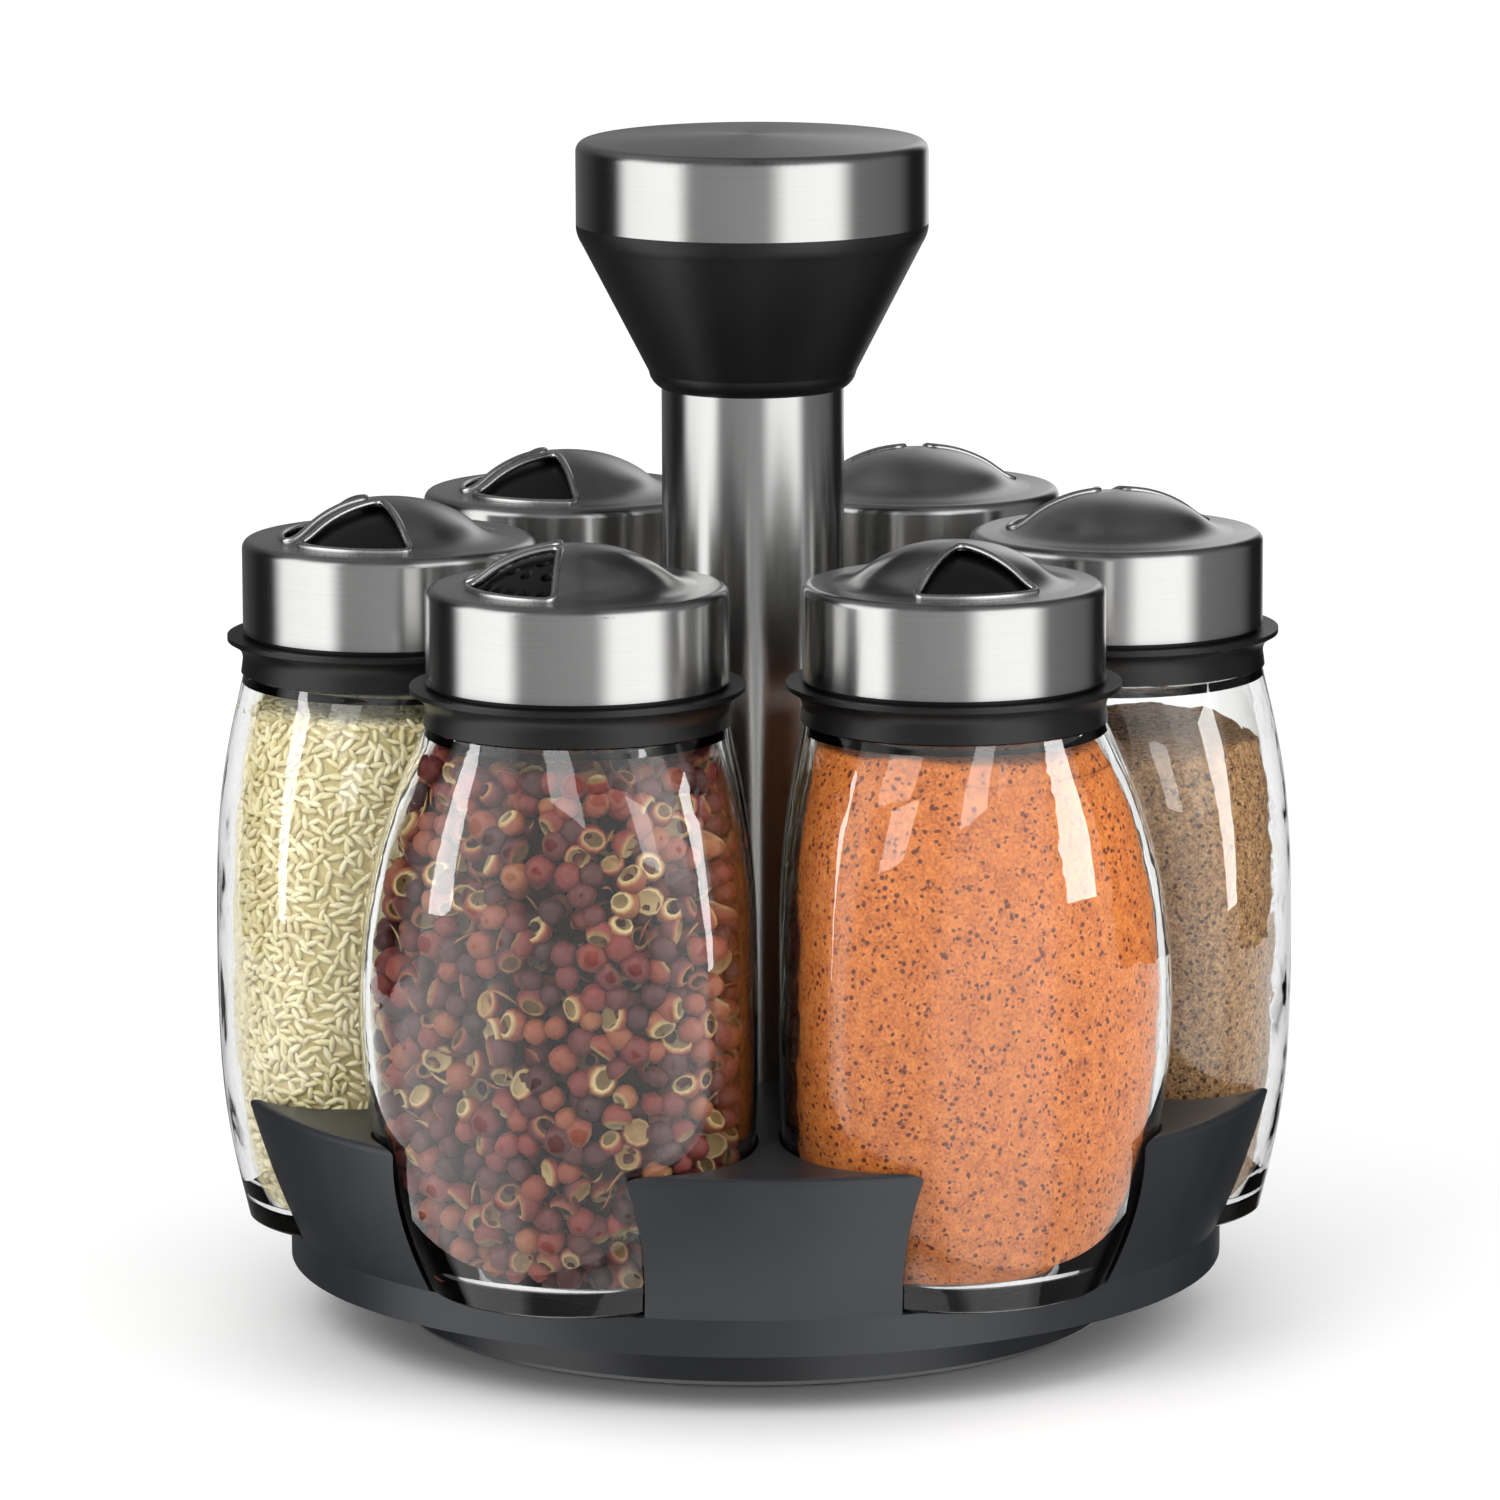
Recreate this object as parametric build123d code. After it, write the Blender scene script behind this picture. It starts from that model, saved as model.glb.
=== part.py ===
from build123d import *
import os
from math import cos, sin, pi

# Spice carousel: six glass jars with turning shaker lids around a steel column, on a turntable.
# Millimetres, +Z up. The origin is on the table under the column, and the front faces -Y.

# ---- driving dimensions -------------------------------------------------------------------
JAR_COUNT = 6
JAR_RING_R = 60.0  # from the column's axis to each jar's axis

# heights above the table
FOOT_UNDERSIDE_Z = 0.8
FOOT_TOP_Z = 9.4
RIM_BOTTOM_Z = 10.2
TRAY_FLOOR_Z = 16.2
TOWER_TOP_Z = 41.1
SHOULDER_Z = 108.0  # where the glass body ends and its neck begins
NECK_TOP_Z = 121.5
CAP_BOTTOM_Z = 115.1
CAP_RIM_Z = 130.3
CAP_APEX_Z = 136.8
KNOB_BOTTOM_Z = 154.8
KNOB_BAND_Z = 181.9
KNOB_TOP_Z = 196.4

# turntable
FOOT_R = 59.3
FOOT_WALL = 2.4
PIVOT_BOSS_R = 14.0
RUBBER_FOOT_R = 5.0
RUBBER_FOOT_RING_R = 48.0
RACE_R = 30.0
RACE_WIDTH = 8.0
RACE_THICKNESS = 0.6
BALL_R = 2.5
BALL_COUNT = 12
RUNNING_GAP = 0.05

# tray
TRAY_R = 77.5
TOWER_TOP_R = 86.5
TRAY_WALL = 2.2
TRAY_FLOOR_THICKNESS = 2.6
TRAY_HUB_R = 19.0
SEAT_CLEARANCE = 0.5

# column and tie rod
COLUMN_R = 15.0
COLUMN_WALL = 0.8
COLUMN_FOOT_Z = 20.0
COLUMN_TOP_Z = 162.0
ROD_R = 3.0
ROD_TOP_Z = 176.0

# glass
GLASS_WALL = 2.2
GLASS_BASE = 4.0
BODY_MEAN_R = 30.6
BODY_END_R = 24.2
NECK_R = 20.5
NECK_BORE_R = 18.3

# shaker lid
CAP_R = 24.2
CAP_SHEET = 0.6
CAP_DOME_R = 19.4
DRUM_R = 23.3
FLANGE_R = 26.8
INSERT_GAP = 1.0
INSERT_SHELL = 1.4
SEAL_THICKNESS = 1.2
WINDOW_SPAN = 72.0
WINDOW_PITCH = 82.0
SIEVE_HOLE_R = 1.1
SLOT_RING_R = 12.0
SLOT_WIDTH = 6.0
SLOT_HALF_ARC = 14.0

# knob
KNOB_R = 28.9
INSERT_R = 5.0
INSERT_TOP_Z = 178.0

# heights that follow from the stack under the tray
UPPER_RACE_Z = TRAY_FLOOR_Z - TRAY_FLOOR_THICKNESS - RACE_THICKNESS
BALL_Z = UPPER_RACE_Z - RUNNING_GAP - BALL_R
LOWER_RACE_Z = BALL_Z - BALL_R - RUNNING_GAP - RACE_THICKNESS
BOLT_HOLLOW_Z = 5.5
WASHER_Z = BOLT_HOLLOW_Z - 1.1
BOLT_HEAD_Z = 1.4

# Azimuths are degrees from the front (-Y), positive towards +X.
# fill: height of the spice; windows: azimuths of the openings in the steel cap; holes: azimuth of
# the sieve in the insert. Only front_left is turned open; the others show blank insert.
JARS = {
    "front_left": {"azimuth": -30, "fill": 104.0, "windows": (-49, -49 - WINDOW_PITCH), "holes": -49},
    "front_right": {"azimuth": 30, "fill": 107.0, "windows": (11,), "holes": 200},
    "right": {"azimuth": 90, "fill": 98.0, "windows": (150, 150 + WINDOW_PITCH), "holes": 70},
    "rear_right": {"azimuth": 150, "fill": 100.0, "windows": (140, 140 + WINDOW_PITCH), "holes": 60},
    "rear_left": {"azimuth": -150, "fill": 102.0, "windows": (-30, -30 - WINDOW_PITCH), "holes": 140},
    "left": {"azimuth": -90, "fill": 103.0, "windows": (-23, -23 - WINDOW_PITCH), "holes": 140},
}


# ---- helpers ------------------------------------------------------------------------------
def round_rim(solid, radius, above, corner):
    """Fillet the circular edge of a given radius that lies higher than a level."""
    rim = solid.edges().filter_by(GeomType.CIRCLE).filter_by(
        lambda edge: abs(edge.radius - radius) < 0.01 and edge.center().Z > above
    )
    return fillet(rim, corner)


def at_azimuth(radius, azimuth, z=0.0):
    """The point at a radius and an azimuth from the front."""
    turn = azimuth * pi / 180
    return Vector(radius * sin(turn), -radius * cos(turn), z)


def turned(outline):
    """A solid of revolution about the Z axis from an outline of (radius, height) points."""
    face = make_face(Polyline(*[(r, 0, z) for r, z in outline], close=True))
    return revolve(face, axis=Axis.Z)


def tube(radius, bore, bottom, top):
    """A straight round tube standing on the Z axis."""
    return turned([(bore, bottom), (radius, bottom), (radius, top), (bore, top)])


def rod(radius, bottom, top, x=0.0, y=0.0):
    """A round bar standing at x, y."""
    return Pos(x, y, bottom) * extrude(Circle(radius), amount=top - bottom)


def facing(shape, azimuth):
    """A shape made facing the front, turned to face an azimuth."""
    return Rot(0, 0, azimuth) * shape


def around_ring(count, radius, start=0.0):
    """Equally spaced places on a ring, as locations turned to face outward."""
    return [Rot(0, 0, start + 360 * k / count) * Pos(0, -radius, 0) for k in range(count)]


# ---- turntable foot -----------------------------------------------------------------------
def foot_disc():
    """Moulded base: a top plate with a skirt, ribs, a pivot boss and a groove for the lower race."""
    plate_z = FOOT_TOP_Z - 4.4
    body = tube(FOOT_R, ROD_R + RUNNING_GAP, FOOT_UNDERSIDE_Z, FOOT_TOP_Z)
    body = chamfer(body.edges().filter_by(GeomType.CIRCLE).group_by(SortBy.RADIUS)[-1], 0.8)
    hollow = tube(FOOT_R - FOOT_WALL, PIVOT_BOSS_R, FOOT_UNDERSIDE_Z, plate_z)
    for place in around_ring(JAR_COUNT, RUBBER_FOOT_RING_R):
        hollow -= place * rod(RUBBER_FOOT_R + 1.6, FOOT_UNDERSIDE_Z, plate_z)
    for place in around_ring(JAR_COUNT, FOOT_R / 2, start=180 / JAR_COUNT):
        hollow -= place * Pos(0, 0, plate_z / 2) * Box(2.0, FOOT_R, plate_z)
    body -= hollow
    body -= rod(PIVOT_BOSS_R - 5.0, FOOT_UNDERSIDE_Z, BOLT_HOLLOW_Z)
    for place in around_ring(JAR_COUNT, RUBBER_FOOT_RING_R):
        body -= place * rod(RUBBER_FOOT_R, FOOT_UNDERSIDE_Z, FOOT_UNDERSIDE_Z + 0.8)
    return body - race_ring(LOWER_RACE_Z, FOOT_TOP_Z + 1.0)


def rubber_feet():
    """Six round pads pressed into the pockets under the foot disc."""
    pad = fillet(rod(RUBBER_FOOT_R, 0, FOOT_UNDERSIDE_Z + 0.8).edges().group_by(Axis.Z)[0], 0.4)
    return [place * pad for place in around_ring(JAR_COUNT, RUBBER_FOOT_RING_R)]


def race_ring(bottom, top):
    """A flat ring centred on the circle that the balls run round."""
    return tube(RACE_R + RACE_WIDTH / 2, RACE_R - RACE_WIDTH / 2, bottom, top)


def bearing_balls():
    ball = Pos(0, 0, BALL_Z) * Sphere(BALL_R)
    return [place * ball for place in around_ring(BALL_COUNT, RACE_R)]


def ball_cage():
    """Plastic ring with a round pocket for each ball."""
    cage = tube(RACE_R + 5.0, RACE_R - 5.0, FOOT_TOP_Z + 0.3, FOOT_TOP_Z + 2.1)
    for place in around_ring(BALL_COUNT, RACE_R):
        cage -= place * rod(BALL_R + 2 * RUNNING_GAP, FOOT_TOP_Z, FOOT_TOP_Z + 3)
    return cage


# ---- glass jar ----------------------------------------------------------------------------
def jar_section(height, inset):
    """Closed outline of the jar body at a height, moved inward by inset.

    The body is round at its base and shoulder and swells between them into a rounded wedge that
    faces outward (-Y). Each outline is the envelope of lines at distance reach(angle) from the
    jar's axis, so that an inset keeps the wall even all round.
    """
    rise = (height - TRAY_FLOOR_Z) / (SHOULDER_Z - TRAY_FLOOR_Z)
    from_middle = abs(2 * rise - 1)
    mean = BODY_MEAN_R - (BODY_MEAN_R - BODY_END_R) * from_middle**2.4
    swell = 1 - from_middle**1.75
    waves = {1: 3.1 * swell, 2: -2.5 * swell, 3: -2.0 * swell}
    points = []
    for step in range(24):
        angle = 2 * pi * step / 24
        reach = mean - inset + sum(size * cos(n * angle) for n, size in waves.items())
        slip = -sum(n * size * sin(n * angle) for n, size in waves.items())
        across = reach * sin(angle) + slip * cos(angle)
        outward = reach * cos(angle) - slip * sin(angle)
        points.append((across, -outward, height))
    return Wire(Spline(*points, periodic=True))


def jar_body(inset, bottom, top, corner):
    """Lofted barrel between two heights, its bottom edge rounded to a corner radius."""
    levels = 7
    heights = [bottom + (top - bottom) * k / (levels - 1) for k in range(levels)]
    barrel = Solid.make_loft([jar_section(height, inset) for height in heights])
    if not corner:
        return barrel
    base_r = BODY_END_R - inset - corner * 0.6
    bend = [
        (base_r + corner * sin(turn), 0, bottom + corner * (1 - cos(turn)))
        for turn in (0, pi / 6, pi / 3)
    ]
    beyond_r = base_r + 20
    bowl = [
        ThreePointArc(*bend),
        Polyline(bend[-1], (beyond_r, 0, bottom + 20 * 3**0.5), (beyond_r, 0, top), (0, 0, top),
                 (0, 0, bottom), bend[0]),
    ]
    return barrel & revolve(make_face(bowl), axis=Axis.Z)


def glass_jar():
    outside = jar_body(0.0, TRAY_FLOOR_Z, SHOULDER_Z, corner=2.8)
    outside += rod(NECK_R, SHOULDER_Z, NECK_TOP_Z)
    inside = jar_body(GLASS_WALL, TRAY_FLOOR_Z + GLASS_BASE, SHOULDER_Z - 2.0, corner=3.0)
    inside += rod(NECK_BORE_R, SHOULDER_Z - 2.0, NECK_TOP_Z)
    return outside - inside


def spice_fill(top):
    """The heaped spice, a little clear of the glass, up to its own level."""
    gap = GLASS_WALL + 0.2
    heap = jar_body(gap, TRAY_FLOOR_Z + GLASS_BASE + 0.2, SHOULDER_Z - 2.2, corner=2.8)
    return heap & Pos(0, 0, top / 2) * Box(200, 200, top)


# ---- shaker lid ---------------------------------------------------------------------------
def dome_solid(wall_r, bottom, rim_z, apex_z, corner):
    """A closed drum with a flat rim and an ogee dome, as one solid of revolution."""
    drop = apex_z - rim_z
    dome = Spline(
        (0, 0, apex_z),
        (CAP_DOME_R * 0.42, 0, apex_z - drop * 0.17),
        (CAP_DOME_R * 0.68, 0, apex_z - drop * 0.55),
        (CAP_DOME_R, 0, rim_z),
        tangents=[(1, 0, 0), (1, 0, -0.1)],
    )
    rim = Polyline(
        (CAP_DOME_R, 0, rim_z),
        (wall_r, 0, rim_z),
        (wall_r, 0, bottom),
        (0, 0, bottom),
        (0, 0, apex_z),
    )
    solid = revolve(make_face([dome, rim]), axis=Axis.Z)
    return round_rim(solid, wall_r, bottom + 1, corner)


def window_cutter(azimuth):
    """A tall prism with the plan of one cap window: a rounded sector."""
    inner_r = 3.2
    outer_r = 17.8
    half = WINDOW_SPAN / 2
    tip = at_azimuth(inner_r, 0)
    arc = ThreePointArc(at_azimuth(outer_r, -half), at_azimuth(outer_r, 0), at_azimuth(outer_r, half))
    sides = Polyline(arc @ 1, tip, arc @ 0)
    plan = make_face([arc, sides])
    plan = fillet(plan.vertices(), 1.5)
    return facing(Pos(0, 0, CAP_BOTTOM_Z) * extrude(plan, amount=40), azimuth)


def dial_cap(windows):
    """Pressed steel cap that turns on the insert, with its pouring windows."""
    outside = dome_solid(CAP_R, CAP_BOTTOM_Z, CAP_RIM_Z, CAP_APEX_Z, corner=1.5)
    inside = dome_solid(
        CAP_R - CAP_SHEET, CAP_BOTTOM_Z - 5, CAP_RIM_Z - CAP_SHEET, CAP_APEX_Z - CAP_SHEET, corner=0.9
    )
    cap = outside - inside
    for azimuth in windows:
        cap -= window_cutter(azimuth)
    return cap


def shaker_insert(holes):
    """Black moulding under the steel cap: flanged collar, drum, seal ledge and domed sieve."""
    collar_z = SHOULDER_Z + 0.3
    flange_z = CAP_BOTTOM_Z - 1.5
    rim_z = CAP_RIM_Z - CAP_SHEET - INSERT_GAP
    apex_z = CAP_APEX_Z - CAP_SHEET - INSERT_GAP
    ledge_z = NECK_TOP_Z + SEAL_THICKNESS
    body = dome_solid(DRUM_R, flange_z, rim_z, apex_z, corner=1.0)
    collar = make_face(
        [
            Polyline(
                (FLANGE_R, 0, flange_z),
                (FLANGE_R, 0, flange_z + 0.8),
                (0, 0, flange_z + 0.8),
                (0, 0, collar_z),
                (BODY_END_R + 0.4, 0, collar_z),
                (BODY_END_R + 0.1, 0, collar_z + 2.2),
            ),
            Spline(
                (BODY_END_R + 0.1, 0, collar_z + 2.2),
                (FLANGE_R, 0, flange_z),
                tangents=[(0, 0, 1), (1, 0, 0.55)],
            ),
        ]
    )
    body += revolve(collar, axis=Axis.Z)
    neck_room = rod(NECK_R + 0.3, collar_z, ledge_z)
    throat = rod(NECK_BORE_R - 1.5, ledge_z, ledge_z + 1.2)
    under_dome = dome_solid(
        DRUM_R - INSERT_SHELL, ledge_z + 1.2, rim_z - INSERT_SHELL, apex_z - INSERT_SHELL, corner=0.5
    )
    body -= neck_room + throat + under_dome
    return body - sieve_cutter(holes)


def sieve_cutter(azimuth):
    """Nine sieve holes in one sector, and a pouring slot one window pitch away from them."""
    rows = {7.0: (0,), 10.5: (-22, 0, 22), 14.5: (-26, -13, 0, 13, 26)}
    bottom = NECK_TOP_Z + 4.0
    cutter = []
    for radius, angles in rows.items():
        for angle in angles:
            place = at_azimuth(radius, angle)
            cutter.append(rod(SIEVE_HOLE_R, bottom, CAP_APEX_Z, place.X, place.Y))
    turns = (-WINDOW_PITCH - SLOT_HALF_ARC, -WINDOW_PITCH, -WINDOW_PITCH + SLOT_HALF_ARC)
    slot = ThreePointArc(*(at_azimuth(SLOT_RING_R, turn) for turn in turns))
    plan = SlotArc(slot, SLOT_WIDTH)
    cutter.append(Pos(0, 0, bottom) * extrude(plan, amount=CAP_APEX_Z - bottom))
    return [facing(piece, azimuth) for piece in cutter]


def neck_seal():
    return tube(NECK_R - 0.1, NECK_BORE_R - 1.4, NECK_TOP_Z, NECK_TOP_Z + SEAL_THICKNESS)


# ---- tray ---------------------------------------------------------------------------------
def tray_block(wall):
    """The tray's outer form before the jar seats are cut, moved inward by wall."""
    flare_foot = (TRAY_R - wall, 0, TRAY_FLOOR_Z)
    flare_middle = (TRAY_R + 5.3 - wall, 0, 28.5)
    flare_top = (TOWER_TOP_R - wall, 0, TOWER_TOP_Z - wall)
    rim = Polyline(flare_top, (0, 0, TOWER_TOP_Z - wall), (0, 0, RIM_BOTTOM_Z),
                   (TRAY_R - wall, 0, RIM_BOTTOM_Z), flare_foot)
    flare = ThreePointArc(flare_foot, flare_middle, flare_top)
    return revolve(make_face([rim, flare]), axis=Axis.Z)


def seat_cutters(clearance, bottom):
    """One flared hollow per jar, a clearance wider than the glass."""
    seat = jar_body(-clearance, bottom, TOWER_TOP_Z + 2, corner=0)
    return [place * seat for place in around_ring(JAR_COUNT, JAR_RING_R, start=180 / JAR_COUNT)]


def tray():
    """Moulded turntable: floor, rim and six towers between the jar seats, hollow underneath."""
    block = tray_block(0)
    block = round_rim(block, TOWER_TOP_R, TRAY_FLOOR_Z, 1.0)
    block -= seat_cutters(SEAT_CLEARANCE, TRAY_FLOOR_Z)
    hollow = tray_block(TRAY_WALL)
    hollow -= seat_cutters(SEAT_CLEARANCE + TRAY_WALL, TRAY_FLOOR_Z - TRAY_FLOOR_THICKNESS)
    hollow -= rod(TRAY_HUB_R, RIM_BOTTOM_Z, TOWER_TOP_Z)
    body = block - hollow
    body -= rod(COLUMN_R, COLUMN_FOOT_Z, TOWER_TOP_Z)
    return body - rod(ROD_R + 0.2, RIM_BOTTOM_Z, COLUMN_FOOT_Z)


# ---- column, tie rod and knob -------------------------------------------------------------
def tie_rod():
    """Hexagon-headed rod from under the foot, up through the column into the knob."""
    head = Pos(0, 0, BOLT_HEAD_Z) * extrude(RegularPolygon(5.5, 6), amount=WASHER_Z - BOLT_HEAD_Z)
    return head + rod(ROD_R, WASHER_Z, ROD_TOP_Z)


def crowned_drum(radius, bottom, rim_z, apex_z, corner):
    """A round drum whose top is slightly domed and whose top edge is rounded."""
    crown = ThreePointArc((0, 0, apex_z), (radius * 0.6, 0, apex_z - (apex_z - rim_z) * 0.36),
                          (radius, 0, rim_z))
    side = Polyline((radius, 0, rim_z), (radius, 0, bottom), (0, 0, bottom), (0, 0, apex_z))
    drum = revolve(make_face([crown, side]), axis=Axis.Z)
    return round_rim(drum, radius, bottom + 1, corner)


def knob_cap():
    rim_z = KNOB_TOP_Z - 1.0
    outside = crowned_drum(KNOB_R, KNOB_BAND_Z, rim_z, KNOB_TOP_Z, corner=1.8)
    inside = crowned_drum(KNOB_R - 0.8, KNOB_BAND_Z - 1, rim_z - 0.8, KNOB_TOP_Z - 0.8, corner=1.0)
    return outside - inside


def knob_cone():
    """Black funnel between the column and the steel cap, with a spigot inside the cap."""
    spigot_z = KNOB_TOP_Z - 4.0
    foot = ThreePointArc((COLUMN_R, 0, KNOB_BOTTOM_Z), (16.3, 0, KNOB_BOTTOM_Z + 1.0),
                         (17.1, 0, KNOB_BOTTOM_Z + 2.8))
    side = Polyline((17.1, 0, KNOB_BOTTOM_Z + 2.8), (28.0, 0, KNOB_BAND_Z - 3.2))
    brow = ThreePointArc((28.0, 0, KNOB_BAND_Z - 3.2), (28.6, 0, KNOB_BAND_Z - 2.0),
                         (28.9, 0, KNOB_BAND_Z - 0.8))
    top = Polyline((28.9, 0, KNOB_BAND_Z - 0.8), (28.9, 0, KNOB_BAND_Z), (28.0, 0, KNOB_BAND_Z),
                   (28.0, 0, spigot_z), (25.6, 0, spigot_z), (25.6, 0, INSERT_TOP_Z),
                   (0, 0, INSERT_TOP_Z), (0, 0, KNOB_BOTTOM_Z), (COLUMN_R, 0, KNOB_BOTTOM_Z))
    body = revolve(make_face([foot, side, brow, top]), axis=Axis.Z)
    body -= rod(COLUMN_R, KNOB_BOTTOM_Z, COLUMN_TOP_Z)
    return body - rod(INSERT_R, COLUMN_TOP_Z, INSERT_TOP_Z)


# ---- write one file per piece -------------------------------------------------------------
def write(name, shape):
    pieces = shape if isinstance(shape, list) else [shape]
    export_step(Compound(children=pieces) if len(pieces) > 1 else pieces[0], f"parts/{name}.step")


os.makedirs("parts", exist_ok=True)

write("foot_disc", foot_disc())
write("rubber_feet", rubber_feet())
write("lower_race", race_ring(LOWER_RACE_Z, LOWER_RACE_Z + RACE_THICKNESS))
write("bearing_balls", bearing_balls())
write("ball_cage", ball_cage())
write("upper_race", race_ring(UPPER_RACE_Z, UPPER_RACE_Z + RACE_THICKNESS))
write("tray", tray())
write("column_tube", tube(COLUMN_R, COLUMN_R - COLUMN_WALL, COLUMN_FOOT_Z, COLUMN_TOP_Z))
write("tie_rod", tie_rod())
write("rod_washer", tube(8.2, ROD_R, WASHER_Z, WASHER_Z + 1.0))
write("knob_cone", knob_cone())
write("knob_insert", tube(INSERT_R, ROD_R, COLUMN_TOP_Z, INSERT_TOP_Z))
write("knob_cap", knob_cap())

glass = glass_jar()
seal = neck_seal()
for jar_name, jar in JARS.items():
    seat = Pos(at_azimuth(JAR_RING_R, jar["azimuth"]))
    write(f"glass_jar_{jar_name}", seat * facing(glass, jar["azimuth"]))
    write(f"spice_{jar_name}", seat * facing(spice_fill(jar["fill"]), jar["azimuth"]))
    write(f"neck_seal_{jar_name}", seat * seal)
    write(f"shaker_insert_{jar_name}", seat * shaker_insert(jar["holes"]))
    write(f"dial_cap_{jar_name}", seat * dial_cap(jar["windows"]))
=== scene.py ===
import random
from math import cos, pi, radians, sin

import bmesh
import bpy
import numpy as np
from mathutils import Matrix, Vector, noise


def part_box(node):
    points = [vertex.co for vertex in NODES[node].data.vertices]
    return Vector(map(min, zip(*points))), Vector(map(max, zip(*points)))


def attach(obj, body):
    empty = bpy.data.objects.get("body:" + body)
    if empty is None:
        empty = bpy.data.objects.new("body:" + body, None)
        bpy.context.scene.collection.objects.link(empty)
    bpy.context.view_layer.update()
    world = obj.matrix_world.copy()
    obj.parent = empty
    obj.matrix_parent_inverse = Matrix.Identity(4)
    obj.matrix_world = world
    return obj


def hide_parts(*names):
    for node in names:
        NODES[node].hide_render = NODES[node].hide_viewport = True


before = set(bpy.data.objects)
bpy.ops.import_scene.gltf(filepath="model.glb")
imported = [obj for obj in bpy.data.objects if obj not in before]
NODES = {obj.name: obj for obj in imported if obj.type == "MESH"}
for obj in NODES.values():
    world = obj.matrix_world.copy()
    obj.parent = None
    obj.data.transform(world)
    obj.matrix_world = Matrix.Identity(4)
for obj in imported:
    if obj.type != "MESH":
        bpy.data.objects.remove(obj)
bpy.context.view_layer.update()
JARS = ("front_left", "front_right", "right", "rear_right", "rear_left", "left")
MM = 0.001
MIDDLE_Z = 0.08  # half-way up the jars


# ---- camera -----------------------------------------------------------------------------
def add_camera():
    """A long lens a little to the left of the front, looking ten degrees down."""
    distance = 1.406
    azimuth = radians(-2.13)
    pitch = radians(10.33)
    roll = radians(-0.2)
    forward = Vector((-sin(azimuth) * cos(pitch), cos(azimuth) * cos(pitch), -sin(pitch)))
    level = Vector((cos(azimuth), sin(azimuth), 0))
    right = cos(roll) * level + sin(roll) * level.cross(forward)
    up = right.cross(forward)
    turn = Matrix((right, up, -forward)).transposed().to_4x4()
    place = Matrix.Translation((distance * sin(azimuth), -distance * cos(azimuth), 0.3479))
    data = bpy.data.cameras.new("camera")
    data.sensor_width = 36.0
    data.lens = 207.1
    data.shift_x = -0.0027
    data.shift_y = 0.0097
    data.clip_end = 100.0
    camera = bpy.data.objects.new("camera", data)
    camera.matrix_world = place @ turn
    bpy.context.scene.collection.objects.link(camera)
    bpy.context.scene.camera = camera


# ---- node helpers -----------------------------------------------------------------------
class Shading:
    """A new material and short ways to add nodes to it."""

    def __init__(self, name):
        self.material = bpy.data.materials.new(name)
        self.material.use_nodes = True
        self.tree = self.material.node_tree
        self.tree.nodes.clear()
        self.output = self.add("OutputMaterial")
        self.shader = self.add("BsdfPrincipled")
        self.link(self.shader.outputs[0], self.output.inputs["Surface"])

    def add(self, kind, **settings):
        node = self.tree.nodes.new("ShaderNode" + kind)
        for key, value in settings.items():
            if key in node.inputs:
                node.inputs[key].default_value = value
            else:
                setattr(node, key, value)
        return node

    def link(self, source, target):
        self.tree.links.new(source, target)

    def set(self, **values):
        for key, value in values.items():
            self.shader.inputs[key.replace("_", " ")].default_value = value

    def math(self, operation, first, second=None):
        node = self.add("Math", operation=operation)
        for socket, value in zip(node.inputs, (first, second)):
            if isinstance(value, (int, float)):
                socket.default_value = value
            elif value is not None:
                self.link(value, socket)
        return node.outputs[0]

    def noise(self, vector, scale, detail=4.0, roughness=0.55):
        node = self.add("TexNoise", Scale=scale, Detail=detail, Roughness=roughness)
        self.link(vector, node.inputs["Vector"])
        return node.outputs["Fac"]

    def ramp(self, factor, stops):
        """Colours along a factor; each stop is a position and a colour."""
        node = self.add("ValToRGB")
        band = node.color_ramp
        while len(band.elements) < len(stops):
            band.elements.new(0.5)
        for element, (position, color) in zip(band.elements, stops):
            element.position = position
            element.color = (*color, 1.0)
        self.link(factor, node.inputs["Fac"])
        return node.outputs["Color"]

    def span(self, factor, low, high):
        """Map a 0..1 factor to low..high."""
        node = self.add("MapRange")
        node.inputs["To Min"].default_value = low
        node.inputs["To Max"].default_value = high
        self.link(factor, node.inputs["Value"])
        return node.outputs["Result"]

    def bump(self, height, strength, distance, below=None):
        node = self.add("Bump", Strength=strength, Distance=distance)
        self.link(height, node.inputs["Height"])
        if below is not None:
            self.link(below, node.inputs["Normal"])
        return node.outputs["Normal"]

    def position(self):
        """Object coordinates, which are metres in the shared frame."""
        return self.add("TexCoord").outputs["Object"]


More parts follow.
